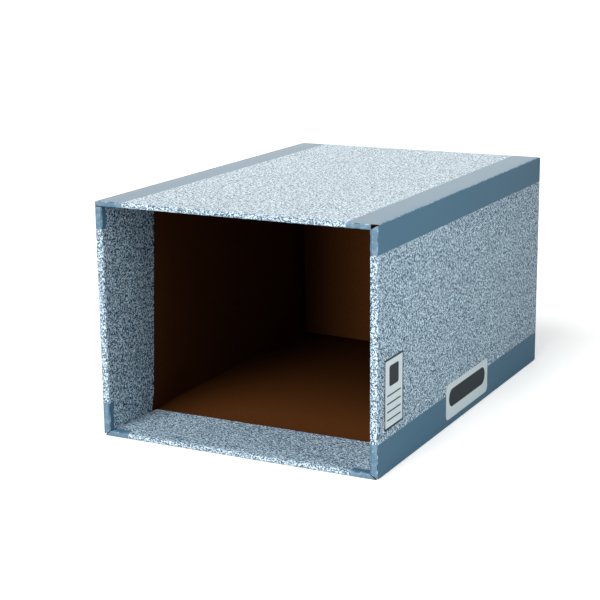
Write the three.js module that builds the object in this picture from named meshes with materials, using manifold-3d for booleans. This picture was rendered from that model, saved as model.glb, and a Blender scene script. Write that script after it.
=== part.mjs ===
// The outer case of a cardboard filing drawer: one printed sheet of corrugated board, folded
// and glued into a box that lies on its side, open at the front and closed at the rear.
// Millimetres, +Z up. X runs across the case and +Y from the open front to the closed rear.
// The origin is under the middle of the case, on the surface that it stands on.

import * as THREE from 'three';
import { mergeVertices } from 'three/addons/utils/BufferGeometryUtils.js';
import Module from 'manifold-3d';

const wasm = await Module();
wasm.setup();

// Driving dimensions of the case, outside
const caseWidth = 366;
const caseHeight = 290;
const caseDepth = 540;

// The board and how it folds
const boardThickness = 3;
const foldRadius = 1.4;
const layerGap = 0.4;
const flapClearance = 1.5;

// The glue lap inside the top left edge
const glueLapWidth = 35;
const lapEndClearance = 2;
const rawEdgeDrop = 1;
const glueInset = 4;

// The rim: each wall turns over at the front as a flat web and then as a flap that lies inside
const levelFlapLength = 95;
const sideFlapBaseLength = 97;
const sideFlapTopLength = 111;
const levelFlapTaperStart = 50;
const levelFlapTaper = 5.6;
const sideFlapCornerRise = 26;
const sideFlapCornerCut = 6;
const sideFlapHeel = 6;
const mitreGap = 1;
const topWebEndInset = 1;

// The cuts that weaken the rim's creases so that they fold sharply
const perforationLength = 7;
const perforationWidth = 0.8;
const perforationDepth = 2.2;
const perforationPitch = 18.6;
const perforationMargin = 14.5;

// The rear flaps: the side flaps meet in the middle, outmost. A short base flap stands inside them.
// The top flap hangs inside as tall as the case, and its foot stands off the rear.
const rearSeamGap = 1;
const baseRearFlapHeight = 60;
const topRearFlapFootGap = 4;
const topRearFlapLean = 22;
const topRearFlapTaper = 8;
const topRearFlapTaperHeight = 150;

// How far solids run into each other before they are joined, and facets per rounded fold
const joinOverlap = 1;
const trimOverlap = 0.05;
const foldSegments = 4;

const printedBoardColour = 0x8fa3ae;
const printedBoardRoughness = 0.55;

// Derived sizes: left and right are the outside faces, rims are the widths of the flat webs
const left = -caseWidth / 2;
const right = caseWidth / 2;
const layerPitch = boardThickness + layerGap;
const lapFace = left + layerPitch;
const levelRim = boardThickness + layerPitch;
const sideRim = boardThickness + 2 * layerPitch;
const creaseRadius = Math.min(foldRadius, boardThickness);
const sleeveFront = boardThickness + lapEndClearance;
const sideRear = caseDepth;
const levelRear = sideRear - layerPitch;
const sleeveRear = levelRear - layerPitch;

// The planes that outlines are drawn in: each gives the world axes of the outline's x and y and
// of the way that it is extruded
const acrossPlane = new THREE.Matrix4().makeBasis(
  new THREE.Vector3(0, 1, 0),
  new THREE.Vector3(0, 0, 1),
  new THREE.Vector3(1, 0, 0),
);
const frontPlane = new THREE.Matrix4().makeBasis(
  new THREE.Vector3(1, 0, 0),
  new THREE.Vector3(0, 0, 1),
  new THREE.Vector3(0, -1, 0),
);
const plan = new THREE.Matrix4();

function point(x, y) {
  return new THREE.Vector2(x, y);
}

// A closed three.js geometry as a solid that can be joined and cut
function toSolid(geometry) {
  geometry.deleteAttribute('normal');
  geometry.deleteAttribute('uv');
  const merged = mergeVertices(geometry);
  return new wasm.Manifold(new wasm.Mesh({
    numProp: 3,
    vertProperties: new Float32Array(merged.attributes.position.array),
    triVerts: new Uint32Array(merged.index.array),
  }));
}

// An outline extruded from one place to another along the normal of its plane
function extrude(outline, plane, from, to) {
  const geometry = new THREE.ExtrudeGeometry(outline, {
    depth: to - from,
    bevelEnabled: false,
    curveSegments: foldSegments,
  });
  geometry.translate(0, 0, from);
  geometry.applyMatrix4(plane);
  return toSolid(geometry);
}

// The front plane's extrusion runs towards the viewer, so places along +Y change sign
function extrudeBack(outline, nearY, farY) {
  return extrude(outline, frontPlane, -farY, -nearY);
}

function box(low, high) {
  const geometry = new THREE.BoxGeometry(high.x - low.x, high.y - low.y, high.z - low.z);
  geometry.translate((low.x + high.x) / 2, (low.y + high.y) / 2, (low.z + high.z) / 2);
  return toSolid(geometry);
}

function leftNormal(from, to) {
  const along = to.clone().sub(from).normalize();
  return point(-along.y, along.x);
}

// The unprinted face of the board: the printed face moved to its left by the board's thickness
function innerFace(face) {
  return face.map((corner, index) => {
    const before = index > 0 ? leftNormal(face[index - 1], corner) : null;
    const after = index < face.length - 1 ? leftNormal(corner, face[index + 1]) : null;
    const first = before ?? after;
    const second = after ?? before;
    const reach = boardThickness / (1 + first.dot(second));
    return corner.clone().add(first.clone().add(second).multiplyScalar(reach));
  });
}

// A left-hand bend of the printed face, with the radius that a scored fold takes
function addFold(shape, before, corner, after) {
  const inNormal = leftNormal(before, corner);
  const outNormal = leftNormal(corner, after);
  const turn = Math.acos(THREE.MathUtils.clamp(inNormal.dot(outNormal), -1, 1));
  const toCentre = inNormal.clone().add(outNormal).normalize();
  const centre = corner.clone().add(toCentre.multiplyScalar(creaseRadius / Math.cos(turn / 2)));
  const startAngle = Math.atan2(-inNormal.y, -inNormal.x);
  shape.absarc(centre.x, centre.y, creaseRadius, startAngle, startAngle + turn, false);
}

// The section of a folded strip of board, given its printed face with the board on the left. It
// starts up the first cut end, because a path whose first piece is an arc drops its start point.
function foldedBoard(face) {
  const [innerStart, ...innerRest] = innerFace(face);
  const shape = new THREE.Shape();
  shape.moveTo(innerStart.x, innerStart.y);
  shape.lineTo(face[0].x, face[0].y);
  for (let index = 1; index < face.length - 1; index += 1) {
    addFold(shape, face[index - 1], face[index], face[index + 1]);
  }
  const last = face[face.length - 1];
  shape.lineTo(last.x, last.y);
  for (const corner of innerRest.reverse()) {
    shape.lineTo(corner.x, corner.y);
  }
  shape.closePath();
  return shape;
}

// The same printed face on the other side of the case, turned round to keep the board on the left
function mirrored(face) {
  return face.map((corner) => point(-corner.x, corner.y)).reverse();
}

function polygon(corners) {
  return new THREE.Shape(corners);
}

function join(solids) {
  return solids.reduce((total, next) => total.add(next));
}

// The four walls, wrapped round from the left wall's cut edge to the lap that is glued inside it
function sleeve() {
  const face = [
    point(left, caseHeight - rawEdgeDrop),
    point(left, 0),
    point(right, 0),
    point(right, caseHeight),
    point(lapFace, caseHeight),
    point(lapFace, caseHeight - glueLapWidth),
  ];
  const walls = extrudeBack(foldedBoard(face), sleeveFront, sleeveRear);
  const glue = box(
    new THREE.Vector3(
      left + boardThickness - trimOverlap,
      sleeveFront + glueInset,
      caseHeight - glueLapWidth + glueInset,
    ),
    new THREE.Vector3(
      lapFace + trimOverlap,
      sleeveRear - glueInset,
      caseHeight - boardThickness - glueInset,
    ),
  );
  return walls.add(glue);
}

// What one wall's strip keeps: the web's outline at the front face, the flap's outline behind it,
// and the wall that joins the sleeve
function trimRim(strip, web, flap, wall) {
  return join([web, flap, wall].map((keep) => strip.intersect(keep)));
}

// The printed face of a level wall's rim, from the flap's end to the wall, in the across plane
function levelRimFace() {
  return [
    point(levelFlapLength, levelRim),
    point(0, levelRim),
    point(0, 0),
    point(sleeveFront + joinOverlap, 0),
  ];
}

// Seen from above: square beside the side flap at first, then drawn in towards its end
function levelFlapOutline() {
  const near = boardThickness - trimOverlap;
  const far = levelFlapLength + joinOverlap;
  const half = right - sideRim - layerGap;
  const farHalf = half - levelFlapTaper;
  return polygon([
    point(-half, near),
    point(half, near),
    point(half, levelFlapTaperStart),
    point(farHalf, levelFlapLength),
    point(farHalf, far),
    point(-farHalf, far),
    point(-farHalf, levelFlapLength),
    point(-half, levelFlapTaperStart),
  ]);
}

// The base's rim, whose web is mitred at both ends
function baseRim() {
  const strip = extrude(foldedBoard(levelRimFace()), acrossPlane, left, right);
  const webOutline = polygon([
    point(left, -joinOverlap),
    point(right, -joinOverlap),
    point(right, 0),
    point(right - sideRim, levelRim),
    point(left + sideRim, levelRim),
    point(left, 0),
  ]);
  const web = extrudeBack(webOutline, -joinOverlap, boardThickness);
  const flap = extrude(levelFlapOutline(), plan, boardThickness, levelRim + joinOverlap);
  const wall = box(
    new THREE.Vector3(left, boardThickness - trimOverlap, -joinOverlap),
    new THREE.Vector3(right, sleeveFront + 2 * joinOverlap, boardThickness),
  );
  return trimRim(strip, web, flap, wall);
}

// The top's rim. Its web runs over the left web's square end. At the right it stops short of the
// right web's mitre, so the panel's cut edge shows above a small open triangle.
function topRim() {
  const face = levelRimFace().reverse().map((corner) => point(corner.x, caseHeight - corner.y));
  const strip = extrude(foldedBoard(face), acrossPlane, left + topWebEndInset, right);
  const webEnd = right - sideRim - layerGap;
  const mitreAtPanel = right - sideRim * (boardThickness / levelRim) - mitreGap;
  const webOutline = polygon([
    point(left, caseHeight - levelRim - trimOverlap),
    point(webEnd, caseHeight - levelRim - trimOverlap),
    point(webEnd, caseHeight - boardThickness),
    point(mitreAtPanel, caseHeight - boardThickness),
    point(right - mitreGap, caseHeight),
    point(right - mitreGap, caseHeight + joinOverlap),
    point(left, caseHeight + joinOverlap),
  ]);
  const web = extrudeBack(webOutline, -joinOverlap, boardThickness);
  const flapTop = caseHeight - boardThickness;
  const flapBase = caseHeight - levelRim - joinOverlap;
  const flap = extrude(levelFlapOutline(), plan, flapBase, flapTop);
  const wall = box(
    new THREE.Vector3(lapFace, boardThickness - trimOverlap, flapTop),
    new THREE.Vector3(right, sleeveFront + 2 * joinOverlap, caseHeight + joinOverlap),
  );
  return trimRim(strip, web, flap, wall);
}

// Seen from the side: it starts as tall as the web, stands beside the ends of the level flaps,
// and its free edge leans back towards the top, with both corners drawn in
function sideFlapOutline() {
  const near = boardThickness - trimOverlap;
  const low = boardThickness + flapClearance;
  const high = caseHeight - low;
  const webLow = levelRim + mitreGap;
  const webHigh = caseHeight - levelRim - mitreGap;
  return polygon([
    point(near, webLow),
    point(boardThickness, webLow),
    point(boardThickness + sideFlapHeel, low),
    point(sideFlapBaseLength - sideFlapCornerCut, low),
    point(sideFlapBaseLength, low + sideFlapCornerRise),
    point(sideFlapTopLength, high - sideFlapCornerRise),
    point(sideFlapTopLength - sideFlapCornerCut, high),
    point(boardThickness + sideFlapHeel, high),
    point(boardThickness, webHigh),
    point(near, webHigh),
  ]);
}

// A side wall's rim from its printed face, its web's outline and the wall's top edge
function sideRimSolid(face, webOutline, outside, inside, wallTop) {
  const strip = extrude(foldedBoard(face), plan, 0, caseHeight);
  const web = extrudeBack(webOutline, -joinOverlap, boardThickness);
  const wallInside = outside + Math.sign(inside - outside) * boardThickness;
  const flap = extrude(
    sideFlapOutline(),
    acrossPlane,
    Math.min(wallInside, inside),
    Math.max(wallInside, inside),
  );
  const wall = box(
    new THREE.Vector3(Math.min(outside, wallInside), boardThickness - trimOverlap, 0),
    new THREE.Vector3(Math.max(outside, wallInside), sleeveFront + 2 * joinOverlap, wallTop),
  );
  return trimRim(strip, web, flap, wall);
}

function leftRimFace() {
  const flapEnd = Math.max(sideFlapBaseLength, sideFlapTopLength);
  return [
    point(left, sleeveFront + joinOverlap),
    point(left, 0),
    point(left + sideRim, 0),
    point(left + sideRim, flapEnd),
  ];
}

// The left web is mitred at the base and square under the top web
function leftRim() {
  const webTop = caseHeight - levelRim - layerGap;
  const webOutline = polygon([
    point(left, mitreGap),
    point(left + sideRim, levelRim + mitreGap),
    point(left + sideRim, webTop),
    point(left, webTop),
  ]);
  const wallTop = caseHeight - rawEdgeDrop;
  return sideRimSolid(leftRimFace(), webOutline, left, left + sideRim, wallTop);
}

// The right web is mitred at both ends
function rightRim() {
  const webOutline = polygon([
    point(right, mitreGap),
    point(right, caseHeight),
    point(right - sideRim, caseHeight - levelRim),
    point(right - sideRim, levelRim + mitreGap),
  ]);
  return sideRimSolid(mirrored(leftRimFace()), webOutline, right, right - sideRim, caseHeight);
}

// A side wall's rear flap, the outmost layer, which reaches the middle of the rear
function sideRearFlap(side) {
  const flapEnd = -rearSeamGap / 2;
  const face = [
    point(flapEnd, sideRear),
    point(left, sideRear),
    point(left, sleeveRear - joinOverlap),
  ];
  const outline = foldedBoard(side < 0 ? face : mirrored(face));
  return extrude(outline, plan, flapClearance, caseHeight - flapClearance);
}

// The base flap stands between the side walls, against the side flaps
function baseRearFlap() {
  const face = [
    point(sleeveRear - joinOverlap, 0),
    point(levelRear, 0),
    point(levelRear, baseRearFlapHeight),
  ];
  const inset = boardThickness + flapClearance;
  return extrude(foldedBoard(face), acrossPlane, left + inset, right - inset);
}

// The top flap, the inmost layer. It keeps clear of the lap at its top left, and its sides are
// drawn in towards its foot.
function topRearFlap() {
  const foot = boardThickness + topRearFlapFootGap;
  const face = [
    point(levelRear - topRearFlapLean, foot),
    point(levelRear, caseHeight),
    point(sleeveRear - joinOverlap, caseHeight),
  ];
  const strip = extrude(foldedBoard(face), acrossPlane, left, right);
  const nearLeft = lapFace + boardThickness + flapClearance;
  const nearRight = right - boardThickness - flapClearance;
  const outline = polygon([
    point(nearLeft + topRearFlapTaper, -joinOverlap),
    point(nearRight - topRearFlapTaper, -joinOverlap),
    point(nearRight, topRearFlapTaperHeight),
    point(nearRight, caseHeight + joinOverlap),
    point(nearLeft, caseHeight + joinOverlap),
    point(nearLeft, topRearFlapTaperHeight),
  ]);
  return strip.intersect(extrudeBack(outline, 0, caseDepth));
}

// The outside of the case with its rounded long edges, which the rim's strips are trimmed to
function envelope() {
  const shape = new THREE.Shape();
  const radius = creaseRadius;
  shape.absarc(right - radius, radius, radius, -Math.PI / 2, 0, false);
  shape.absarc(right - radius, caseHeight - radius, radius, 0, Math.PI / 2, false);
  shape.absarc(left + radius, caseHeight - radius, radius, Math.PI / 2, Math.PI, false);
  shape.absarc(left + radius, radius, radius, Math.PI, Math.PI * 1.5, false);
  shape.closePath();
  return extrudeBack(shape, -joinOverlap, caseDepth + joinOverlap);
}

// Middles of the cuts along a crease of the given length, spread evenly about its middle
function perforationPlaces(length) {
  const count = Math.floor((length - 2 * perforationMargin) / perforationPitch) + 1;
  return Array.from({ length: count }, (_, index) => (index - (count - 1) / 2) * perforationPitch);
}

// One cut, turned to enter a crease diagonally from the outside. It runs along X for a level
// crease and along Z for an upright one.
function perforation(upright, corner, angle) {
  const size = upright
    ? [perforationWidth, 2 * perforationDepth, perforationLength]
    : [perforationLength, 2 * perforationDepth, perforationWidth];
  const geometry = new THREE.BoxGeometry(...size);
  if (upright) {
    geometry.rotateZ(angle);
  } else {
    geometry.rotateX(angle);
  }
  geometry.translate(corner.x, corner.y, corner.z);
  return toSolid(geometry);
}

// The cuts of both creases of all four webs
function perforations() {
  const cuts = [];
  const diagonal = Math.PI / 4;
  for (const x of perforationPlaces(caseWidth - 2 * sideRim)) {
    cuts.push(perforation(false, new THREE.Vector3(x, 0, 0), diagonal));
    cuts.push(perforation(false, new THREE.Vector3(x, 0, levelRim), -diagonal));
    cuts.push(perforation(false, new THREE.Vector3(x, 0, caseHeight), -diagonal));
    cuts.push(perforation(false, new THREE.Vector3(x, 0, caseHeight - levelRim), diagonal));
  }
  for (const offset of perforationPlaces(caseHeight)) {
    const z = caseHeight / 2 + offset;
    cuts.push(perforation(true, new THREE.Vector3(left, 0, z), -diagonal));
    cuts.push(perforation(true, new THREE.Vector3(left + sideRim, 0, z), diagonal));
    cuts.push(perforation(true, new THREE.Vector3(right, 0, z), diagonal));
    cuts.push(perforation(true, new THREE.Vector3(right - sideRim, 0, z), -diagonal));
  }
  return join(cuts);
}

function drawerCaseSolid() {
  const rim = join([baseRim(), topRim(), leftRim(), rightRim()]).intersect(envelope());
  const rear = join([sideRearFlap(-1), sideRearFlap(1), baseRearFlap(), topRearFlap()]);
  return join([sleeve(), rim, rear]).subtract(perforations());
}

function toGeometry(solid) {
  const mesh = solid.getMesh();
  const geometry = new THREE.BufferGeometry();
  geometry.setAttribute('position', new THREE.BufferAttribute(mesh.vertProperties, mesh.numProp));
  geometry.setIndex(new THREE.BufferAttribute(mesh.triVerts, 1));
  geometry.computeVertexNormals();
  return geometry;
}

const printedBoard = new THREE.MeshStandardMaterial({
  color: printedBoardColour,
  roughness: printedBoardRoughness,
  metalness: 0,
});

const drawerCase = new THREE.Mesh(toGeometry(drawerCaseSolid()), printedBoard);
drawerCase.name = 'drawer_case';
drawerCase.position.set(0, -caseDepth / 2, 0);

const filingDrawerCase = new THREE.Group();
filingDrawerCase.add(drawerCase);

export default filingDrawerCase;
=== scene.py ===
# %% [markdown]
# # The case of a cardboard filing drawer
# The real thing is one sheet of corrugated board: two paper liners glued to a wavy paper core,
# printed on one side, creased, folded and glued. It lies on its side, open at the front and
# closed at the rear. This lesson folds such a sheet in Blender, prints it with shader nodes,
# and lights it on a pale floor.

# %% Load the fixed frame
import math

import bmesh
import bpy
from mathutils import Matrix, Vector, noise


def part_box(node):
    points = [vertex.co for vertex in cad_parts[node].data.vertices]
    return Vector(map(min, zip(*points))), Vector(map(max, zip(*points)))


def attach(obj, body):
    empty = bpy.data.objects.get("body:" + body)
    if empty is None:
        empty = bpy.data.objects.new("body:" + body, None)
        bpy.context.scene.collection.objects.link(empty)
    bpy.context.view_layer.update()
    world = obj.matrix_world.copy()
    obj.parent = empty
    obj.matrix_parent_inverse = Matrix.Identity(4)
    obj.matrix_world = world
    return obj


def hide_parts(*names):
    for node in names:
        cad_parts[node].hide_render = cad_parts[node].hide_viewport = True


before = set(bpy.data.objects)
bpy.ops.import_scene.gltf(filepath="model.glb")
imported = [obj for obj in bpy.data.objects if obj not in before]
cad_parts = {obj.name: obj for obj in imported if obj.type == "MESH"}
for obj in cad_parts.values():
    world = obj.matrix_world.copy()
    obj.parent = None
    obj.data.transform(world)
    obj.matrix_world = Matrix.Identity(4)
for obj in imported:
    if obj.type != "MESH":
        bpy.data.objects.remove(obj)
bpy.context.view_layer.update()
case_low, case_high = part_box("drawer_case")
width, depth, height = case_high - case_low
left, right = case_low.x, case_high.x
front, rear = case_low.y, case_high.y
print("case in metres:", round(width, 3), round(depth, 3), round(height, 3))

# %% [markdown]
# ## The board
# Sizes that belong to the board come first, because every fold, gap and cut edge follows them.
# A scored fold has a small radius outside, and the liner inside is crushed nearly sharp. Lengths
# that differ by less than the value called touching count as the same.

# %% Board and rim sizes in metres
board = 0.003
layer_gap = 0.0004
liner = 0.00035
fold_radius = 0.0014
crushed_radius = 0.0003
fold_steps = 6
layer_pitch = board + layer_gap
level_rim = board + layer_pitch
side_rim = board + 2 * layer_pitch
mitre_gap = 0.001
flap_clearance = 0.0015
lap_width = 0.035
raw_edge_drop = 0.001
level_rear = rear - layer_pitch
lap_rear = level_rear - layer_pitch
lap_face = left + layer_pitch
touching = 1e-6
print("rim widths:", round(level_rim, 4), round(side_rim, 4))

# %% [markdown]
# ## The section of a folded strip
# Each strip is drawn as the line of its printed face, always with the board on the left. At a
# corner the printed face turns on an arc. Every point outside gets a partner on the brown face,
# so that the two faces and the cut edges between them can be skinned with quads. The length along
# the unfolded sheet goes with each pair, because the print is laid out on the flat sheet.


# %% Pairs of points along a fold
def outline(*pairs):
    return [Vector(pair) for pair in pairs]


def left_normal(start, end):
    along = (end - start).normalized()
    return Vector((-along.y, along.x))


def corner_pairs(before, corner, after):
    """The pairs of points round one fold, and the length that the fold takes on each side."""
    entering, leaving = left_normal(before, corner), left_normal(corner, after)
    turn = math.acos(max(-1.0, min(1.0, entering.dot(leaving))))
    inward = (entering + leaving).normalized()
    inner_corner = corner + inward * (board / math.cos(turn / 2))
    centre = corner + inward * (fold_radius / math.cos(turn / 2))
    crushed_centre = inner_corner + inward * (crushed_radius / math.cos(turn / 2))
    first = math.atan2(-entering.y, -entering.x)
    pairs = []
    for step in range(fold_steps + 1):
        angle = first + turn * step / fold_steps
        outward = Vector((math.cos(angle), math.sin(angle)))
        pairs.append((centre + outward * fold_radius, crushed_centre + outward * crushed_radius))
    return pairs, fold_radius * math.tan(turn / 2)


def strip_section(face, spacing, start_length=0.0):
    """Printed point, brown point and sheet length at each station along a folded strip."""
    stations = []
    length = start_length
    previous = (face[0], face[0] + left_normal(face[0], face[1]) * board, length)
    for index in range(1, len(face)):
        distance = (face[index] - face[index - 1]).length
        is_fold = index < len(face) - 1
        if is_fold:
            pairs, reach = corner_pairs(face[index - 1], face[index], face[index + 1])
            target = (*pairs[0], length + distance - reach)
        else:
            normal = left_normal(face[index - 1], face[index])
            target = (face[index], face[index] + normal * board, length + distance)
        straight = (target[0] - previous[0]).length
        steps = math.ceil(straight / spacing) if straight > touching else 0
        for step in range(steps):
            part = step / steps
            stations.append((previous[0].lerp(target[0], part), previous[1].lerp(target[1], part),
                             previous[2] + (target[2] - previous[2]) * part))
        if is_fold:
            for step, pair in enumerate(pairs[:-1]):
                stations.append((*pair, target[2] + 2 * reach * step / fold_steps))
            previous = (*pairs[-1], target[2] + 2 * reach)
        else:
            stations.append(target)
        length += distance
    return stations


# %% [markdown]
# ## Skinning a strip
# A strip has four rows through its thickness: the printed face, the back of the printed liner, the
# back of the brown liner and the brown face. The middle layer of an end cut across the flutes is
# set back a little, so that the two liners stand out with the wavy core between them. A strip may
# be longer or shorter at each station, which gives mitres and tapers without any cutting.

# %% Collect the quads of the sheet
PRINTED, BROWN, EDGE = range(3)
ROW_DEPTHS = (0.0, liner / board, 1 - liner / board, 1.0)
STATION, ROW, STEP = (1, 0, 0), (0, 1, 0), (0, 0, 1)
flute_recess = 0.004
merge_distance = 1e-7
sharp_angle = math.radians(35)


def link_object(name, data):
    piece = bpy.data.objects.new(name, data)
    bpy.context.scene.collection.objects.link(piece)
    return piece


class FoldedSheet:
    """Quads of one or more strips, with their places on the flat sheet and their finish."""

    def __init__(self):
        self.points = []
        self.places = []
        self.finishes = []

    def quad(self, corners, finish):
        for point, place in corners:
            self.points.append(point)
            self.places.append(place)
        self.finishes.append(finish)

    def to_object(self, name, materials):
        faces = [list(range(start, start + 4)) for start in range(0, len(self.points), 4)]
        mesh = bpy.data.meshes.new(name)
        mesh.from_pydata(self.points, [], faces)
        layer = mesh.uv_layers.new(name="sheet")
        for loop_index, place in enumerate(self.places):
            layer.data[loop_index].uv = place
        for material in materials:
            mesh.materials.append(material)
        for polygon, finish in zip(mesh.polygons, self.finishes):
            polygon.material_index = finish
            polygon.use_smooth = True
        work = bmesh.new()
        work.from_mesh(mesh)
        bmesh.ops.remove_doubles(work, verts=work.verts, dist=merge_distance)
        bmesh.ops.recalc_face_normals(work, faces=work.faces)
        work.to_mesh(mesh)
        work.free()
        mesh.set_sharp_from_angle(angle=sharp_angle)
        return link_object(name, mesh)


def add_strip(sheet, stations, spans, across, to_space, to_place, fluted_end=False, bend=None):
    """Skins a strip. spans gives, for each station, where it starts and ends outside and inside."""
    def corner(index, row, step):
        outer, inner, length = stations[index]
        low_out, high_out, low_in, high_in = spans[index]
        thickness = ROW_DEPTHS[row]
        low = low_out + (low_in - low_out) * thickness
        high = high_out + (high_in - high_out) * thickness
        run = low + (high - low) * step / across
        flat = outer.lerp(inner, thickness)
        if bend is not None:
            flat = flat + (inner - outer).normalized() * bend(index, length, run)
        return to_space(flat, run), to_place(length, run)

    def patch(start, first, second, finish):
        """A quad that goes one place on from its start, in each of two directions."""
        both = [a + b for a, b in zip(first, second)]
        shifts = ((0, 0, 0), first, both, second)
        sheet.quad([corner(*(a + b for a, b in zip(start, shift))) for shift in shifts], finish)

    last = len(stations) - 1
    for index in range(last):
        for step in range(across):
            patch((index, 0, step), STATION, STEP, PRINTED)
            patch((index, 3, step), STATION, STEP, BROWN)
        for row in range(3):
            if fluted_end and row == 1 and index == last - 1:
                continue
            patch((index, row, 0), STATION, ROW, EDGE)
            patch((index, row, across), STATION, ROW, EDGE)
    for step in range(across):
        for row in range(3):
            patch((0, row, step), STEP, ROW, EDGE)
        for row in range(3):
            is_core = fluted_end and row == 1
            patch((last - 1 if is_core else last, row, step), STEP, ROW, EDGE)
        if fluted_end:
            patch((last - 1, 1, step), STATION, STEP, EDGE)
            patch((last - 1, 2, step), STATION, STEP, EDGE)


def with_flute_station(stations):
    """Adds a station just before the strip's end, where the set-back core starts."""
    outer, inner, length = stations[-1]
    before = stations[-2]
    share = flute_recess / (outer - before[0]).length
    extra = (outer.lerp(before[0], share), inner.lerp(before[1], share), length - flute_recess)
    return stations[:-1] + [extra, stations[-1]]


def turned_over(stations, top=0.0):
    """The stations upside down, with the board on the other side of the printed line."""
    return [(Vector((outer.x, top - outer.y)), Vector((inner.x, top - inner.y)), length)
            for outer, inner, length in stations]


# %% [markdown]
# ## The places of the strips
# A mapping takes a section point and a run along the fold into space: walls wrap round the Y axis
# and level folds lie along X. Side folds stand along Z, and have mappings of their own further on.
# The flat sheet is measured round the case from the top of the left wall (u) and from the front
# crease to the rear (v).

# %% From section to space and to the flat sheet
girth_base = height
girth_right = girth_base + width
girth_top = girth_right + height


def wall_space(flat, run):
    return Vector((flat.x, run, flat.y))


def level_space(flat, run):
    return Vector((run, flat.x, flat.y))


def base_girth(x):
    return girth_base + x - left


def top_girth(x):
    return girth_top + right - x


def left_girth(z):
    return height - z


def right_girth(z):
    return girth_right + z


print("girth of the sheet:", round(girth_top + width, 3), "m")

# %% [markdown]
# ## The walls
# The four walls are one strip that wraps round: down the left wall, across the base, up the right
# wall, across the top and down the glue lap inside the left wall. Real panels are never quite
# flat, so each one is drawn in by about half a millimetre in its middle. At the front the two
# base creases are notched back a little, and the corners are cut away underneath, where no rim
# hides them.

# %% Fold the walls
wall_spacing = 0.012
wall_bow = 0.0005
bow_waves = (9, 7, 5)
bow_least = 0.4
lap_front = front + board + 0.002
corner_notch = 0.008
corner_undercut = 0.009
corner_opening = 0.004


def between(value, low, high):
    """How far a value has come from low to high, from 0 to 1."""
    return min(1.0, max(0.0, (value - low) / (high - low)))


def panel_bow(size, place, run):
    """How far a panel is drawn in at a place across it and a run along the case."""
    across = math.sin(math.pi * between(place, 0, size))
    along = math.sin(math.pi * between(run - front, 0, depth))
    spot = Vector((place * bow_waves[0], run * bow_waves[1], size * bow_waves[2]))
    drift = 0.5 + 0.5 * noise.noise(spot)
    return wall_bow * across * along * (bow_least + drift)


def sleeve_bow(index, length, run):
    for start, size in ((0, height), (girth_base, width), (girth_right, height),
                        (girth_top, width)):
        if start + fold_radius < length < start + size - fold_radius:
            return panel_bow(size, length - start, run)
    return 0.0


def is_side(length):
    """True on the flat of the left or right wall, where the rear fold lies one layer further."""
    return (length < girth_base - fold_radius + touching
            or girth_right + fold_radius - touching < length < girth_top - fold_radius + touching)


def is_on_base_crease(length):
    return any(abs(length - crease) < fold_radius for crease in (girth_base, girth_right))


def is_open_corner(length):
    """True where no rim hides the front edge: at each corner, and further on at the top right."""
    near_crease = any(abs(length - crease) < corner_opening
                      for crease in (girth_base, girth_right, girth_top))
    return near_crease or girth_top < length < girth_top + side_rim


def make_walls(sheet):
    face = outline((left, height - raw_edge_drop), (left, 0), (right, 0), (right, height),
                   (lap_face, height), (lap_face, height - lap_width))
    stations = strip_section(face, wall_spacing, raw_edge_drop)
    fold_depth = board + crushed_radius
    lap_start = girth_top + right - lap_face
    spans = []
    for _, _, length in stations:
        if length > lap_start:
            spans.append((lap_front, lap_rear, lap_front, lap_rear))
            continue
        fold_at = rear if is_side(length) else level_rear
        low = front + (corner_notch if is_on_base_crease(length) else fold_radius)
        low_inside = front + (corner_undercut if is_open_corner(length) else fold_depth)
        spans.append((low, fold_at - fold_radius, low_inside, fold_at - fold_depth))
    add_strip(sheet, stations, spans, math.ceil(depth / wall_spacing), wall_space,
              lambda length, run: (length, run - front), bend=sleeve_bow)
    return len(stations)


walls_sheet = FoldedSheet()
print("stations round the walls:", make_walls(walls_sheet))

# %% [markdown]
# ## The rim
# At the front each wall turns over twice: a flat web, then a flap that lies back inside with its
# print showing. The webs are mitred where they meet, apart from the top left, where the top web
# runs over the left one, and the top right, where it stops short and the panel above it is cut
# away underneath, so that a small dark triangle stays open.

# %% Shape of the rim flaps
rim_spacing = 0.008
level_flap = 0.095
level_taper_start = 0.050
level_taper = 0.0056
side_flap_base, side_flap_top = 0.097, 0.111
side_corner_rise, side_corner_cut = 0.026, 0.006
side_heel = 0.006
flap_lift = 0.0012
corner_gap = 0.0017
hairline = 0.0002


def level_half(distance):
    """Half the width of the base or top flap at a distance behind the front face."""
    half = right - side_rim - layer_gap
    return half - level_taper * between(distance, level_taper_start, level_flap)


def flap_stand_off(distance, length):
    """A turned-in flap springs a little off its wall towards its free end."""
    return -flap_lift * between(distance, board, length) ** 2


# %% Base and top rims
def corner_trim(low, high, length, low_wall, high_wall):
    """A strip's start and end outside and inside: inside, it keeps off the walls beside it."""
    if length > fold_radius + board:
        return low, high, low, high
    return low, high, max(low, low_wall + board), min(high, high_wall - board)


def level_span(outer, is_flap, is_top):
    """Start and end of the base's or the top's strip at a point of its section."""
    if is_flap:
        half = level_half(outer.x - front)
        return -half, half
    if is_top:
        return left + corner_gap, right - side_rim + mitre_gap
    start = corner_gap + (side_rim + hairline - corner_gap) * outer.y / level_rim
    return left + start, right - start


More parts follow.
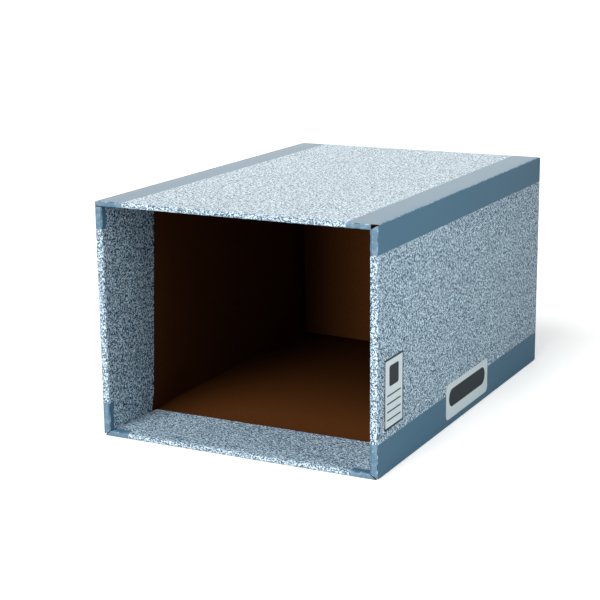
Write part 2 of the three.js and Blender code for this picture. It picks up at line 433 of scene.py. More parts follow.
def make_level_rim(is_top):
    """The base's or the top's web and flap, as a strip of its own."""
    sheet = FoldedSheet()
    face = outline((front + fold_radius, 0), (front, 0), (front, -level_rim),
                   (front + level_flap, -level_rim))
    stations = with_flute_station(turned_over(strip_section(face, rim_spacing)))
    if is_top:
        stations = turned_over(stations, height)
    spans = []
    for outer, _, length in stations:
        low, high = level_span(outer, length > fold_radius + level_rim, is_top)
        spans.append(corner_trim(low, high, length, left, right))
    girth = top_girth if is_top else base_girth

    def lift(index, length, run):
        outer = stations[index][0]
        if length < fold_radius + level_rim + fold_radius:
            return 0.0
        return flap_stand_off(outer.x - front, level_flap)

    add_strip(sheet, stations, spans, math.ceil(width / rim_spacing), level_space,
              lambda length, run: (girth(run), fold_radius - length), fluted_end=True, bend=lift)
    return sheet


rims = {"base": make_level_rim(False), "top": make_level_rim(True)}
print("quads of the level rims:", [len(sheet.finishes) for sheet in rims.values()])


# %% Left and right rims
def side_flap_reach(z):
    """Distance from the front to the free edge of a side flap at a height above the base."""
    low = board + flap_clearance
    high = height - low
    share = between(z, low + side_corner_rise, high - side_corner_rise)
    reach = side_flap_base + (side_flap_top - side_flap_base) * share
    corner = max(1 - (z - low) / side_corner_rise, 1 - (high - z) / side_corner_rise, 0.0)
    return reach - side_corner_cut * corner


def side_web_span(inset, is_right):
    low = corner_gap + (level_rim + hairline - corner_gap) * inset / side_rim
    if is_right:
        return low, height - max(fold_radius, inset * level_rim / side_rim)
    return low, height - level_rim - layer_gap


def side_flap_span(behind):
    low = board + flap_clearance
    share = between(behind, board, board + side_heel)
    low_here = level_rim + mitre_gap + (low - level_rim - mitre_gap) * share
    return low_here, height - low_here


def make_side_rim(is_right):
    """A side flap's free edge leans, so its stations are stretched to the reach at each height."""
    sheet = FoldedSheet()
    face = outline((left, front + fold_radius), (left, front), (left + side_rim, front),
                   (left + side_rim, front + side_flap_base))
    stations = with_flute_station(strip_section(face, rim_spacing))
    spans = []
    for outer, _, length in stations:
        if length > fold_radius + side_rim:
            low, high = side_flap_span(outer.y - front)
        else:
            low, high = side_web_span(outer.x - left, is_right)
        spans.append(corner_trim(low, high, length, 0, height))
    heel = front + board + side_heel
    full = front + side_flap_base

    def to_space(flat, run):
        x, y = flat.x, flat.y
        if y > heel and x > left + layer_pitch:
            share = (y - heel) / (full - heel)
            y = heel + (front + side_flap_reach(run) - heel) * share
            x += flap_lift * share * share
        return Vector((-x if is_right else x, y, run))

    girth = right_girth if is_right else left_girth
    add_strip(sheet, stations, spans, math.ceil(height / rim_spacing), to_space,
              lambda length, run: (girth(run), fold_radius - length), fluted_end=True)
    return sheet


rims["left"] = make_side_rim(False)
rims["right"] = make_side_rim(True)
print("quads of the four rims:", [len(sheet.finishes) for sheet in rims.values()])

# %% [markdown]
# ## The rear
# From behind, two side flaps meet in a seam down the middle. A short base flap stands inside them.
# The inmost layer is the top flap: it hangs as tall as the case, keeps clear of the lap at its top
# left, and its foot springs forward off the rear, most in its middle.

# %% Shape of the rear flaps
rear_seam = 0.001
rear_spacing = 0.012
base_flap_height = 0.060
top_flap_foot = board + 0.004
top_flap_lean = 0.022
top_flap_belly = 0.008
top_flap_taper = 0.008
top_flap_taper_height = 0.150
rear_inset = board + flap_clearance


def top_flap_ends(z):
    """Left and right end of the hanging flap at a height above the base."""
    taper = top_flap_taper * (1 - between(z, 0, top_flap_taper_height))
    return lap_face + rear_inset + taper, right - rear_inset - taper


# %% Fold the rear flaps
def make_side_rear_flap(sheet, is_right):
    face = outline((right, rear - fold_radius), (right, rear), (rear_seam / 2, rear))
    stations = with_flute_station(strip_section(face, rear_spacing))
    low, high = flap_clearance, height - flap_clearance
    spans = [(low, high, low, high)] * len(stations)
    girth = right_girth if is_right else left_girth

    def to_space(flat, run):
        return Vector((flat.x if is_right else -flat.x, flat.y, run))

    add_strip(sheet, stations, spans, math.ceil(height / rear_spacing), to_space,
              lambda length, run: (girth(run), depth - fold_radius + length), fluted_end=True)


def make_base_rear_flap(sheet):
    face = outline((level_rear - fold_radius, 0), (level_rear, 0), (level_rear, base_flap_height))
    stations = with_flute_station(strip_section(face, rear_spacing))
    low, high = left + rear_inset, right - rear_inset
    spans = [(low, high, low, high)] * len(stations)
    start = level_rear - fold_radius - front
    add_strip(sheet, stations, spans, math.ceil(width / rear_spacing), level_space,
              lambda length, run: (base_girth(run), start + length), fluted_end=True)


def make_top_rear_flap(sheet):
    """Drawn as if it stood on the base, then turned over to hang from the top."""
    face = outline((level_rear - fold_radius, 0), (level_rear, 0),
                   (level_rear - top_flap_lean, height - top_flap_foot))
    stations = turned_over(with_flute_station(strip_section(face, rear_spacing)), height)
    spans = []
    for outer, _, _ in stations:
        low, high = top_flap_ends(outer.y)
        spans.append((low, high, low, high))
    low_end, high_end = top_flap_ends(height)

    def to_space(flat, run):
        across = math.sin(math.pi * between(run, low_end, high_end))
        belly = top_flap_belly * (across - 0.5) * between(flat.y, height - board, 0)
        return Vector((run, flat.x - belly, flat.y))

    start = level_rear - fold_radius - front
    add_strip(sheet, stations, spans, math.ceil(width / rear_spacing), to_space,
              lambda length, run: (top_girth(run), start + length), fluted_end=True)


rear_sheet = FoldedSheet()
for on_right in (False, True):
    make_side_rear_flap(rear_sheet, on_right)
make_base_rear_flap(rear_sheet)
make_top_rear_flap(rear_sheet)
print("rear flaps: quads", len(rear_sheet.finishes))

# %% [markdown]
# ## The wavy core
# Where the board is cut across its flutes, the wavy paper between the liners shows. It repeats
# along every such edge, so Geometry Nodes make it: a line is resampled, pushed up and down by a
# sine and given the narrow section of the paper. A few helpers add nodes and connect their inputs
# by name, here and in the shaders further on.


# %% Node helpers
NUMBER, VECTOR, COLOUR = "NodeSocketFloat", "NodeSocketVector", "NodeSocketColor"


def connect(tree, socket, value):
    """Sets a socket, or links it to an output. A node stands for its first output."""
    if isinstance(value, bpy.types.Node):
        value = value.outputs[0]
    if isinstance(value, bpy.types.NodeSocket):
        tree.links.new(value, socket)
    else:
        socket.default_value = value


def add_node(tree, kind, settings=None, **inputs):
    """A new node with its settings and its inputs, which are named with _ for a space."""
    node = tree.nodes.new(kind)
    for label, value in (settings or {}).items():
        setattr(node, label, value)
    for label, value in inputs.items():
        connect(tree, node.inputs[label.replace("_", " ")], value)
    return node


def math_node(tree, operation, *values):
    node = add_node(tree, "ShaderNodeMath", {"operation": operation})
    for socket, value in zip(node.inputs, values):
        connect(tree, socket, value)
    return node.outputs[0]


def new_group(name, kind, inputs, output, output_kind):
    """An empty node group with the kinds of its inputs by name, and one output."""
    group = bpy.data.node_groups.new(name, kind)
    for label, socket_kind in inputs.items():
        group.interface.new_socket(label, in_out="INPUT", socket_type=socket_kind)
    group.interface.new_socket(output, in_out="OUTPUT", socket_type=output_kind)
    given = group.nodes.new("NodeGroupInput").outputs
    return group, given, group.nodes.new("NodeGroupOutput").inputs[0]


# %% Geometry Nodes helpers
def modified_mesh(piece):
    """A plain mesh of a piece as its modifiers leave it."""
    graph = bpy.context.evaluated_depsgraph_get()
    graph.update()
    return bpy.data.meshes.new_from_object(piece.evaluated_get(graph))


def run_tree(tree, name, values):
    """Runs a tree on an empty mesh with the given inputs and returns its result as a plain mesh."""
    carrier = link_object(name, bpy.data.meshes.new(name))
    modifier = carrier.modifiers.new("tree", "NODES")
    modifier.node_group = tree
    for item in tree.interface.items_tree:
        if item.in_out == "INPUT" and item.name in values:
            modifier[item.identifier] = values[item.name]
    result = modified_mesh(carrier)
    bpy.data.objects.remove(carrier)
    return result


# %% Tree for a run of fluted paper
flute_period = 0.0065
flute_paper = 0.00025
flute_steps = 10


def flute_tree(material):
    labels = ("Length", "Period", "Rise", "Paper", "Reach")
    tree, given, result = new_group("fluted_paper", "GeometryNodeTree",
                                    dict.fromkeys(labels, NUMBER),
                                    "Geometry", "NodeSocketGeometry")
    length, period, rise, paper, reach = (given[label] for label in labels)
    end = add_node(tree, "ShaderNodeCombineXYZ", X=length)
    line = add_node(tree, "GeometryNodeCurvePrimitiveLine", End=end)
    resample = add_node(tree, "GeometryNodeResampleCurve", {"mode": "LENGTH"}, Curve=line,
                        Length=math_node(tree, "DIVIDE", period, flute_steps))
    position = add_node(tree, "GeometryNodeInputPosition")
    split = add_node(tree, "ShaderNodeSeparateXYZ", Vector=position)
    turns = math_node(tree, "DIVIDE", split.outputs["X"], period)
    angle = math_node(tree, "MULTIPLY", turns, math.tau)
    wave = math_node(tree, "MULTIPLY", math_node(tree, "SINE", angle), rise)
    offset = add_node(tree, "ShaderNodeCombineXYZ", Z=wave)
    move = add_node(tree, "GeometryNodeSetPosition", Geometry=resample, Offset=offset)
    normal = add_node(tree, "GeometryNodeSetCurveNormal", {"mode": "Z_UP"}, Curve=move)
    profile = add_node(tree, "GeometryNodeCurvePrimitiveQuadrilateral", Width=reach, Height=paper)
    skin = add_node(tree, "GeometryNodeCurveToMesh", Curve=normal, Profile_Curve=profile,
                    Fill_Caps=True)
    finish = add_node(tree, "GeometryNodeSetMaterial", Geometry=skin, Material=material)
    connect(tree, result, finish)
    return tree


# %% [markdown]
# ## The print
# The print is laid out on the flat sheet, in metres, so one pattern runs over the folds without a
# break. It is a fine grey-blue stipple, with a plain band along each long edge of the case. The
# bands end a few millimetres onto the flaps. Small shader groups keep the pattern readable.


# %% Shader helpers
def place_group(tree, group, **inputs):
    return add_node(tree, "ShaderNodeGroup", {"node_tree": group}, **inputs)


def mix_colours(tree, amount, first, second):
    node = add_node(tree, "ShaderNodeMix", {"data_type": "RGBA"})
    for index, value in ((0, amount), (6, first), (7, second)):
        connect(tree, node.inputs[index], value)
    return node.outputs[2]


def smooth_step(tree, value, low, high):
    node = add_node(tree, "ShaderNodeMapRange", {"interpolation_type": "SMOOTHSTEP"},
                    Value=value, From_Min=low, From_Max=high)
    return node.outputs["Result"]


def noise_texture(tree, place, scale, detail=2.0):
    node = add_node(tree, "ShaderNodeTexNoise", Vector=place, Scale=scale, Detail=detail)
    return node.outputs["Fac"]


def soft_edge(tree, inside, softness):
    """A mask that rises from 0 to 1 across an edge, from the distance inside it."""
    mask = math_node(tree, "ADD", math_node(tree, "DIVIDE", inside, softness), 0.5)
    mask.node.use_clamp = True
    return mask


def linear(red, green, blue):
    """A colour read off a colour chart, 0 to 255, as the linear values that shaders use."""
    def channel(value):
        share = value / 255
        return share / 12.92 if share <= 0.04045 else ((share + 0.055) / 1.055) ** 2.4
    return (channel(red), channel(green), channel(blue), 1.0)


# %% Group for a soft-edged interval
def interval_group():
    inputs = dict.fromkeys(("Value", "Low", "High", "Softness"), NUMBER)
    group, given, result = new_group("interval_mask", "ShaderNodeTree", inputs, "Mask", NUMBER)
    above = math_node(group, "SUBTRACT", given["Value"], given["Low"])
    below = math_node(group, "SUBTRACT", given["High"], given["Value"])
    nearest = math_node(group, "MINIMUM", above, below)
    connect(group, result, soft_edge(group, nearest, given["Softness"]))
    return group


# %% Group for a rectangle with round corners
def plate_group():
    inputs = dict.fromkeys(("U", "V", "Centre U", "Centre V", "Half U", "Half V", "Radius",
                            "Softness"), NUMBER)
    group, given, result = new_group("round_plate_mask", "ShaderNodeTree", inputs, "Mask", NUMBER)
    beyond = []
    for axis in "UV":
        away = math_node(group, "SUBTRACT", given[axis], given["Centre " + axis])
        inner = math_node(group, "SUBTRACT", given["Half " + axis], given["Radius"])
        away = math_node(group, "SUBTRACT", math_node(group, "ABSOLUTE", away), inner)
        beyond.append(math_node(group, "MAXIMUM", away, 0.0))
    squares = [math_node(group, "MULTIPLY", value, value) for value in beyond]
    distance = math_node(group, "SQRT", math_node(group, "ADD", *squares))
    inside = math_node(group, "SUBTRACT", given["Radius"], distance)
    connect(group, result, soft_edge(group, inside, given["Softness"]))
    return group


# %% Group for the stippled ink
dark_fleck = (0.515, 0.485)
light_fleck = (0.510, 0.540)


def stipple_group():
    inputs = {"Vector": VECTOR, "Scale": NUMBER, "Light": COLOUR, "Middle": COLOUR, "Dark": COLOUR}
    group, given, result = new_group("stippled_ink", "ShaderNodeTree", inputs, "Color", COLOUR)
    flecks = add_node(group, "ShaderNodeTexNoise", Vector=given["Vector"], Scale=given["Scale"],
                      Detail=1.5, Roughness=0.55, Distortion=1.1)
    dark = smooth_step(group, flecks.outputs["Fac"], *dark_fleck)
    light = smooth_step(group, flecks.outputs["Fac"], *light_fleck)
    base = mix_colours(group, dark, given["Middle"], given["Dark"])
    connect(group, result, mix_colours(group, light, base, given["Light"]))
    return group


interval = interval_group()
plate = plate_group()
stipple = stipple_group()
print("shader groups:", interval.name, plate.name, stipple.name)

# %% [markdown]
# ## The printed liner
# The stipple's flecks are a little longer round the case than along it. The bands are intervals of
# the girth. Two printed plates stand on the right wall: near the front an upright tag with a plain
# block and ruled lines, and half way along a long plate with a plain dark bar. Both are generic and
# carry no words. Their places are measured along the wall from the front, and up from the base.

# %% Printed liner material
stipple_light = linear(198, 220, 233)
stipple_middle = linear(112, 146, 169)
stipple_dark = linear(22, 54, 84)
stipple_scale = 510
stipple_stretch = (0.86, 1.12, 1.0)
worn_and_sheen_print = linear(206, 218, 228)
# Pale print, for the worn creases and for the painted sheen on the front webs.
band_blue = linear(66, 103, 126)
plate_grey = linear(196, 208, 214)
plate_dark = linear(26, 36, 42)
band_on_side_top, band_on_side_base = 0.034, 0.0415
band_on_top, band_on_base = 0.038, 0.0345
band_bleed = 0.008
ink_edge = 0.0004
rubbed_half, rubbed_edge = 0.0007, 0.0008
patch_scale, patch_low, patch_high = 160, 0.42, 0.66
# Painted sheen: the front webs are painted paler all over and in patches, as if lit. The creases
# and long folds below are rubbed paler by wear.
web_sheen_base, web_sheen_patches = 0.07, 0.10
front_rub, rim_rub, fold_rub, top_fold_rub = 0.55, 0.35, 0.30, 0.40
web_past_crease, web_past_front, web_edge = 0.001, 0.0005, 0.0012
print_roughness, print_ior = 0.4, 1.3
grain_scale, grain_strength, grain_depth = 900, 0.08, 0.0002
tag_place, tag_size, tag_corner = (0.0445, 0.0925), (0.053, 0.083), 0.0025
tag_border, tag_inner_corner = 0.0026, 0.0012
block_rise, block_size, block_corner = 0.020, (0.026, 0.024), 0.003
rule_count, rule_drop, rule_pitch = 4, 0.002, 0.0095
rule_size, rule_corner = (0.038, 0.0018), 0.0004
plate_place, plate_size, plate_corner = (0.2745, 0.031), (0.143, 0.045), 0.007
bar_rise, bar_size = 0.003, (0.124, 0.023)


def new_material(name):
    material = bpy.data.materials.new(name)
    material.use_nodes = True
    tree = material.node_tree
    return material, tree, tree.nodes["Principled BSDF"]


def sheet_coordinates(tree):
    """The place on the flat sheet: as a vector, round the case (u) and along it (v)."""
    sheet_map = add_node(tree, "ShaderNodeUVMap", {"uv_map": "sheet"})
    split = add_node(tree, "ShaderNodeSeparateXYZ", Vector=sheet_map)
    return sheet_map, split.outputs["X"], split.outputs["Y"]


def add_bump(tree, shader, rise, strength, distance):
    bump = add_node(tree, "ShaderNodeBump", Height=rise, Strength=strength, Distance=distance)
    connect(tree, shader.inputs["Normal"], bump)


def band_mask(tree, u, v):
    """One where the plain bands lie on the flat sheet."""
    edges = [(0, band_on_side_top, band_on_side_top), (girth_base, band_on_side_base, band_on_base),
             (girth_right, band_on_base, band_on_side_base),
             (girth_top, band_on_side_top, band_on_top),
             (girth_top + width, band_on_top, band_on_top)]
    total = None
    for edge, before, after in edges:
        mask = place_group(tree, interval, Value=u, Low=edge - before, High=edge + after,
                           Softness=ink_edge)
        total = mask if total is None else math_node(tree, "MAXIMUM", total, mask)
    along = place_group(tree, interval, Value=v, Low=-side_rim - band_bleed,
                        High=depth + band_bleed, Softness=ink_edge)
    return math_node(tree, "MULTIPLY", total, along)


def worn_folds_and_web_sheen(tree, place, u, v, colour):
    """Paints a pale sheen of light over the front webs, and rubs the print paler where it is worn
    along their creases and on the long folds.
    """
    patches = smooth_step(tree, noise_texture(tree, place, patch_scale), patch_low, patch_high)
    web = place_group(tree, interval, Value=v, Low=-level_rim - web_past_crease,
                      High=web_past_front, Softness=web_edge)
    # painted sheen: the webs are paler all over, and more so in patches
    patchy_web_sheen = math_node(tree, "MULTIPLY", patches, web_sheen_patches)
    total = math_node(tree, "MULTIPLY", web, math_node(tree, "ADD", patchy_web_sheen, web_sheen_base))
    for value, fold, strength in ((v, 0.0, front_rub), (v, -level_rim, rim_rub),
                                  (v, -side_rim, rim_rub), (u, girth_base, fold_rub),
                                  (u, girth_right, fold_rub), (u, girth_top, top_fold_rub)):
        line = place_group(tree, interval, Value=value, Low=fold - rubbed_half,
                           High=fold + rubbed_half, Softness=rubbed_edge)
        rubbed = math_node(tree, "MULTIPLY", math_node(tree, "MULTIPLY", line, patches), strength)
        total = math_node(tree, "MAXIMUM", total, rubbed)
    return mix_colours(tree, total, colour, worn_and_sheen_print)


def plate_shapes():
    """Ink, middle, size and corner radius of each printed shape, in the order of printing."""
    tag_y, tag_z = tag_place
    plate_y, plate_z = plate_place
    inner_size = [side - 2 * tag_border for side in tag_size]
    shapes = [(plate_dark, tag_place, tag_size, tag_corner),
              (plate_grey, tag_place, inner_size, tag_inner_corner),
              (plate_dark, (tag_y, tag_z + block_rise), block_size, block_corner)]
    for rule in range(rule_count):
        rule_z = tag_z - rule_drop - rule_pitch * rule
        shapes.append((plate_dark, (tag_y, rule_z), rule_size, rule_corner))
    shapes.append((plate_grey, plate_place, plate_size, plate_corner))
    shapes.append((plate_dark, (plate_y, plate_z + bar_rise), bar_size, bar_size[1] / 2))
    return shapes


def printed_plates(tree, u, v, colour):
    """The tag and the long plate of the right wall, drawn over the given colour."""
    z = math_node(tree, "SUBTRACT", u, girth_right)
    for ink, (y_middle, z_middle), (y_size, z_size), radius in plate_shapes():
        mask = place_group(tree, plate, U=v, V=z, Centre_U=y_middle, Centre_V=z_middle,
                           Half_U=y_size / 2, Half_V=z_size / 2, Radius=radius,
                           Softness=ink_edge)
        colour = mix_colours(tree, mask, colour, ink)
    return colour


def printed_liner():
    material, tree, shader = new_material("printed_liner")
    place, u, v = sheet_coordinates(tree)
    stretched = add_node(tree, "ShaderNodeVectorMath", {"operation": "MULTIPLY"})
    connect(tree, stretched.inputs[0], place)
    connect(tree, stretched.inputs[1], stipple_stretch)
    colour = place_group(tree, stipple, Vector=stretched, Scale=stipple_scale,
                         Light=stipple_light, Middle=stipple_middle, Dark=stipple_dark)
    colour = mix_colours(tree, band_mask(tree, u, v), colour, band_blue)
    # worn creases, and a painted sheen on the front webs
    colour = worn_folds_and_web_sheen(tree, place, u, v, colour)
    connect(tree, shader.inputs["Base Color"], printed_plates(tree, u, v, colour))
    connect(tree, shader.inputs["Roughness"], print_roughness)
    connect(tree, shader.inputs["IOR"], print_ior)
    add_bump(tree, shader, noise_texture(tree, place, grain_scale), grain_strength, grain_depth)
    return material


# %% [markdown]
# ## Brown liner and cut edges
# Inside, the liner is plain brown paper with faint fibres, and the flutes behind it show as a
# slight washboard. The cut edges show the paper inside the board, slightly paler than the liner,
# but painted darker than it is, as shade for the narrow gaps at the corners.

# %% Brown paper materials
kraft = linear(85, 49, 20)
kraft_dark = linear(76, 43, 17)
# painted shade: the cut paper is darker than it is, so that the gaps at the corners read dark
shaded_cut_paper = linear(90, 58, 32)
kraft_roughness, kraft_ior = 0.9, 1.12
liner_fibres, cut_fibres = 420, 700
fibre_low, fibre_high = 0.35, 0.65
fibre_strength, fibre_depth = 0.18, 0.0003
washboard_share = 0.4


def brown_paper(name, light, dark, fibre_scale, is_washboard):
    material, tree, shader = new_material(name)
    place, u, _ = sheet_coordinates(tree)
    rise = noise_texture(tree, place, fibre_scale, detail=3.0)
    blend = smooth_step(tree, rise, fibre_low, fibre_high)
    connect(tree, shader.inputs["Base Color"], mix_colours(tree, blend, dark, light))
    connect(tree, shader.inputs["Roughness"], kraft_roughness)
    connect(tree, shader.inputs["IOR"], kraft_ior)
    if is_washboard:
        ridge = math_node(tree, "SINE", math_node(tree, "MULTIPLY", u, math.tau / flute_period))
        rise = math_node(tree, "ADD", rise, math_node(tree, "MULTIPLY", ridge, washboard_share))
    add_bump(tree, shader, rise, fibre_strength, fibre_depth)
    return material


finishes = [printed_liner(), brown_paper("brown_liner", kraft, kraft_dark, liner_fibres, True),
            brown_paper("shaded_cut_edge", shaded_cut_paper, kraft, cut_fibres, False)]
print("finishes:", [material.name for material in finishes])

# %% Make the sheet parts as meshes
def board_volume(piece):
    """Cubic centimetres inside a piece, which is below zero if its faces point inwards."""
    work = bmesh.new()
    work.from_mesh(piece.data)
    open_edges = sum(1 for edge in work.edges if len(edge.link_faces) != 2)
    volume = work.calc_volume(signed=True) * 1e6
    work.free()
    return round(volume, 1), open_edges


walls = walls_sheet.to_object("walls_part", finishes)
rim_strips = {side: sheet.to_object(side + "_rim", finishes) for side, sheet in rims.items()}
rear_flaps = rear_sheet.to_object("rear_part", finishes)
for part in (walls, *rim_strips.values(), rear_flaps):
    print(part.name, len(part.data.polygons), "faces, volume and open edges", board_volume(part))

# %% [markdown]
# ## The cut creases of the rim
# Short cuts at an even pitch weaken the rim's creases, so that the stiff board folds sharply. A
# row of them repeats, so Geometry Nodes instance one small cutter along each crease, and a boolean
# takes the cutters out of the rim. The cuts show the brown paper inside the board.

# %% Tree for a row of cutters
cut_length, cut_width, cut_depth = 0.007, 0.0006, 0.0022
cut_pitch, cut_margin = 0.0186, 0.0145
shortest_cut, longest_cut = 0.88, 1.08


def cutter_tree(material):
    inputs = {"Count": "NodeSocketInt", "Start": VECTOR, "Offset": VECTOR, "Size": VECTOR,
              "Turn": "NodeSocketRotation", "Seed": "NodeSocketInt"}
    tree, given, result = new_group("crease_cutters", "GeometryNodeTree", inputs,
                                    "Geometry", "NodeSocketGeometry")
    points = add_node(tree, "GeometryNodeMeshLine", Count=given["Count"],
                      Start_Location=given["Start"], Offset=given["Offset"])
    cube = add_node(tree, "GeometryNodeMeshCube", Size=given["Size"])
    scale = add_node(tree, "FunctionNodeRandomValue", {"data_type": "FLOAT"}, Seed=given["Seed"])
    connect(tree, scale.inputs[2], shortest_cut)
    connect(tree, scale.inputs[3], longest_cut)
    row = add_node(tree, "GeometryNodeInstanceOnPoints", Points=points, Instance=cube,
                   Rotation=given["Turn"], Scale=scale.outputs[1])
    realize = add_node(tree, "GeometryNodeRealizeInstances", Geometry=row)
    finish = add_node(tree, "GeometryNodeSetMaterial", Geometry=realize, Material=material)
    connect(tree, result, finish)
    return tree


# %% Cut the creases
def crease_rows():
    """For each side, the count, start, offset, cutter size and turn of its two rows of cuts."""
    rows = {side: [] for side in rims}
    level_count = math.floor((width - 2 * side_rim - 2 * cut_margin) / cut_pitch) + 1
    upright_count = math.floor((height - 2 * cut_margin) / cut_pitch) + 1
    slant = math.pi / 4
    for side, z, turn in (("base", 0, slant), ("base", level_rim, -slant),
                          ("top", height, -slant), ("top", height - level_rim, slant)):
        start = Vector((-(level_count - 1) / 2 * cut_pitch, front, z))
        size = Vector((cut_length, 2 * cut_depth, cut_width))
        rows[side].append((level_count, start, Vector((cut_pitch, 0, 0)), size, (turn, 0, 0)))
    for side, x, turn in (("left", left, -slant), ("left", left + side_rim, slant),
                          ("right", right, slant), ("right", right - side_rim, -slant)):
        start = Vector((x, front, height / 2 - (upright_count - 1) / 2 * cut_pitch))
        size = Vector((cut_width, 2 * cut_depth, cut_length))
        rows[side].append((upright_count, start, Vector((0, 0, cut_pitch)), size, (0, 0, turn)))
    return rows


def join_meshes(name, meshes):
    """One mesh object from several meshes, with its vertices as they are."""
    work = bmesh.new()
    for mesh in meshes:
        work.from_mesh(mesh)
    joined = bpy.data.meshes.new(name)
    work.to_mesh(joined)
    work.free()
    for material in meshes[0].materials:
        joined.materials.append(material)
    return link_object(name, joined)


def cut_creases(target, rows, tree):
    """Takes the cutters of both creases out of one rim strip and returns how many there were."""
    meshes = []
    for seed, (count, start, offset, size, turn) in enumerate(rows):
        values = {"Count": count, "Start": start, "Offset": offset, "Size": size, "Turn": turn,
                  "Seed": seed}
        meshes.append(run_tree(tree, "cutter_row", values))
    cutters = join_meshes("crease_cutters", meshes)
    boolean = target.modifiers.new("cuts", "BOOLEAN")
    boolean.operation = "DIFFERENCE"
    boolean.solver = "EXACT"
    boolean.material_mode = "TRANSFER"
    boolean.object = cutters
    cut = modified_mesh(target)
    target.modifiers.clear()
    target.data = cut
    bpy.data.objects.remove(cutters)
    return sum(row[0] for row in rows)


cutter_row = cutter_tree(finishes[BROWN])
for side, rows in crease_rows().items():
    strip = rim_strips[side]
    cuts = cut_creases(strip, rows, cutter_row)
    print(strip.name, cuts, "cuts, volume and open edges", board_volume(strip))

# %% [markdown]
# ## Flutes along the cut edges
# A run of fluted paper is laid between the liners of each edge that is cut across the flutes.

# %% Lay the flutes
flute_rise = (board - 2 * liner - flute_paper) / 2
fluted = flute_tree(finishes[EDGE])


def flutes_along(start, end, inward):
    """A run of fluted paper from start to end, reaching inward from the cut edge."""
    along = (end - start).normalized()
    across = inward.cross(along).normalized()
    mesh = run_tree(fluted, "flutes", {"Length": (end - start).length, "Period": flute_period,
                                       "Rise": flute_rise, "Paper": flute_paper,
                                       "Reach": flute_recess})
    axes = Matrix((along, inward, across)).transposed().to_4x4()
    middle = start + inward * (flute_recess / 2 + flute_paper)
    mesh.transform(Matrix.Translation(middle) @ axes)
    return mesh


def edge_runs():
    """Both ends and the inward direction of each cut edge that shows its flutes."""
    half = board / 2
    back = Vector((0, -1, 0))
    runs = []
    for x, inward in ((rear_seam / 2, 1), (-rear_seam / 2, -1)):
        runs.append((Vector((x, rear - half, flap_clearance)),
                     Vector((x, rear - half, height - flap_clearance)), Vector((inward, 0, 0))))
    y = level_rear - half
    runs.append((Vector((left + rear_inset, y, base_flap_height)),
                 Vector((right - rear_inset, y, base_flap_height)), Vector((0, 0, -1))))
    end_half = level_half(level_flap)
    for z in (level_rim - half + flap_lift, height - level_rim + half - flap_lift):
        runs.append((Vector((-end_half, front + level_flap, z)),
                     Vector((end_half, front + level_flap, z)), back))
    low = board + flap_clearance + side_corner_rise
    high = height - low
    for x in (left + side_rim - half + flap_lift, right - side_rim + half - flap_lift):
        lower = Vector((x, front + side_flap_reach(low), low))
        upper = Vector((x, front + side_flap_reach(high), high))
        runs.append((lower, upper, back))
    return runs


flutes = join_meshes("flutes_part", [flutes_along(*run) for run in edge_runs()])
print("flute faces:", len(flutes.data.polygons))

# %% [markdown]
# ## One piece
# The strips are parts of one sheet, so they are joined into one object, which stands for the node
# of the frame and rides on its only body.

# %% Join the sheet
def join_into(name, pieces):
    with bpy.context.temp_override(active_object=pieces[0], selected_objects=pieces,
                                   selected_editable_objects=pieces):
        bpy.ops.object.join()
    pieces[0].name = name
    pieces[0].data.name = name
    return pieces[0]


case = join_into("folded_case", [walls, *rim_strips.values(), rear_flaps, flutes])
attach(case, "root")
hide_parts("drawer_case")
slots = [material.name for material in case.data.materials]
print("folded case:", len(case.data.polygons), "faces", slots)

# %% [markdown]
# ## Floor and light
# A pale floor and a white surround give the plain studio of a catalogue picture. Suns light a
# floor evenly however large it is, so the key is a wide soft sun from the front, a little to the
# left. It fades over the floor inside the case, and a weaker low sun reaches the rear. Lamps above
# and at the right favour the near end, and a dim one behind puts a sheen on the top. Seen by the
# camera the floor glows a little, so that it is white where it is lit and keeps the shadow.

# %% Floor
floor_size = 60.0
floor_grey = (0.35, 0.35, 0.35, 1)
floor_seen = (0.62, 0.62, 0.62, 1)
floor_glow = 0.48
floor_roughness = 0.9
floor_drop = 0.0002


def floor_paint():
    material, tree, shader = new_material("floor_paint")
    connect(tree, shader.inputs["Base Color"], floor_grey)
    connect(tree, shader.inputs["Roughness"], floor_roughness)
    lit = add_node(tree, "ShaderNodeAddShader")
    connect(tree, lit.inputs[0], add_node(tree, "ShaderNodeBsdfDiffuse", Color=floor_seen))
    connect(tree, lit.inputs[1], add_node(tree, "ShaderNodeEmission", Strength=floor_glow))
    path = add_node(tree, "ShaderNodeLightPath")
    mix = add_node(tree, "ShaderNodeMixShader")
    for index, value in enumerate((path.outputs["Is Camera Ray"], shader, lit)):
        connect(tree, mix.inputs[index], value)
    connect(tree, tree.nodes["Material Output"].inputs["Surface"], mix)
    return material


def make_floor():
    mesh = bpy.data.meshes.new("floor")
    half = floor_size / 2
    corners = [(-half, -half, 0), (half, -half, 0), (half, half, 0), (-half, half, 0)]
    mesh.from_pydata(corners, [], [range(4)])
    mesh.materials.append(floor_paint())
    floor = link_object("floor", mesh)
    floor.location.z = -floor_drop


make_floor()

# %% Lamps and world
world_strength = 0.30
world_tint = (0.78, 0.90, 1.0, 1)


def make_world():
    world = bpy.data.worlds.new("studio")
    bpy.context.scene.world = world
    world.use_nodes = True
    tree = world.node_tree
    background = tree.nodes["Background"]
    path = add_node(tree, "ShaderNodeLightPath")
    seen = math_node(tree, "MAXIMUM", path.outputs["Is Camera Ray"], path.outputs["Is Glossy Ray"])
    connect(tree, background.inputs["Color"], mix_colours(tree, seen, world_tint, (1, 1, 1, 1)))
    gain = math_node(tree, "MULTIPLY", seen, 1 - world_strength)
    connect(tree, background.inputs["Strength"], math_node(tree, "ADD", gain, world_strength))


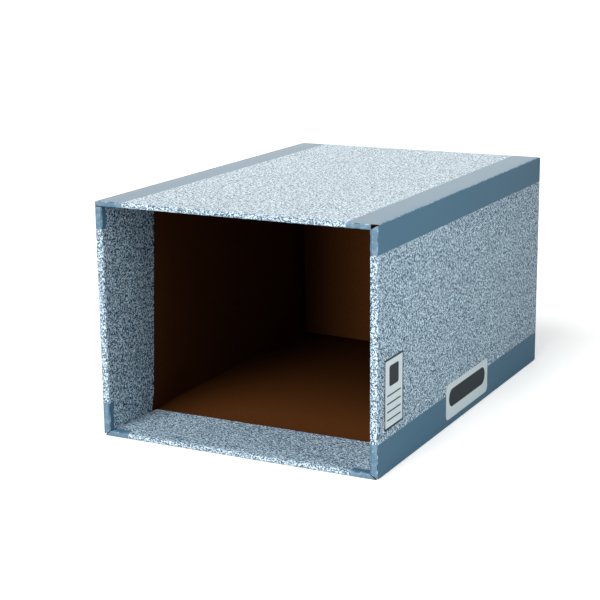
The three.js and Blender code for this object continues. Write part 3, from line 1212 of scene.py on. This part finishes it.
def make_lamp(name, kind, place, strength, spread, tint=(1, 1, 1)):
    """A lamp that looks at the middle of the case: a sun of some angle or a disk of some width."""
    data = bpy.data.lights.new(name, kind)
    data.energy = strength
    data.color = tint
    if kind == "SUN":
        data.angle = math.radians(spread)
    else:
        data.shape = "DISK"
        data.size = spread
    lamp = link_object(name, data)
    target = Vector((0, 0, height / 2))
    lamp.location = Vector(place)
    lamp.rotation_mode = "QUATERNION"
    lamp.rotation_quaternion = (target - lamp.location).to_track_quat("-Z", "Y")


make_world()
make_lamp("key_sun", "SUN", (-0.5, -2.6, 2.95), 3.0, 34, (1, 0.965, 0.93))
make_lamp("low_sun", "SUN", (-0.45, -2.6, 0.45), 1.9, 18)
make_lamp("top_lamp", "AREA", (-0.25, -0.22, 1.35), 3.6, 0.9, (1, 0.93, 0.81))
make_lamp("side_fill", "AREA", (1.03, -0.4, 0.42), 6.3, 0.5, (0.96, 0.98, 0.93))
make_lamp("back_sheen", "AREA", (-1.5, 2.9, 1.05), 16, 2.4, (1, 0.92, 0.78))
bpy.context.scene.view_settings.view_transform = "Standard"

# %% [markdown]
# ## Camera
# The camera stands in front and to the right of the case, a little above it, with a long lens, as
# in the catalogue picture. Its place was worked out from the corners of the case.

# %% Camera
camera_azimuth = 0.47723
camera_elevation = 0.24023
camera_roll = -0.01017
camera_distance = 6.1678 * height
camera_shift_right = 0.26311 * height
camera_shift_up = 0.63157 * height
camera_lens, sensor_width = 91.9, 36


def make_camera():
    azimuth, elevation = camera_azimuth, camera_elevation
    back = Vector((math.sin(azimuth) * math.cos(elevation),
                   -math.cos(azimuth) * math.cos(elevation), math.sin(elevation)))
    level_right = Vector((math.cos(azimuth), math.sin(azimuth), 0))
    level_up = back.cross(level_right)
    to_right = level_right * math.cos(camera_roll) + level_up * math.sin(camera_roll)
    to_up = level_up * math.cos(camera_roll) - level_right * math.sin(camera_roll)
    place = Vector((0, front, 0)) + back * camera_distance
    place += to_right * camera_shift_right + to_up * camera_shift_up
    data = bpy.data.cameras.new("camera")
    data.lens = camera_lens
    data.sensor_width = sensor_width
    camera = link_object("camera", data)
    camera.matrix_world = (Matrix.Translation(place)
                           @ Matrix((to_right, to_up, back)).transposed().to_4x4())
    bpy.context.scene.camera = camera
    return camera


print("camera at", [round(value, 3) for value in make_camera().matrix_world.translation])
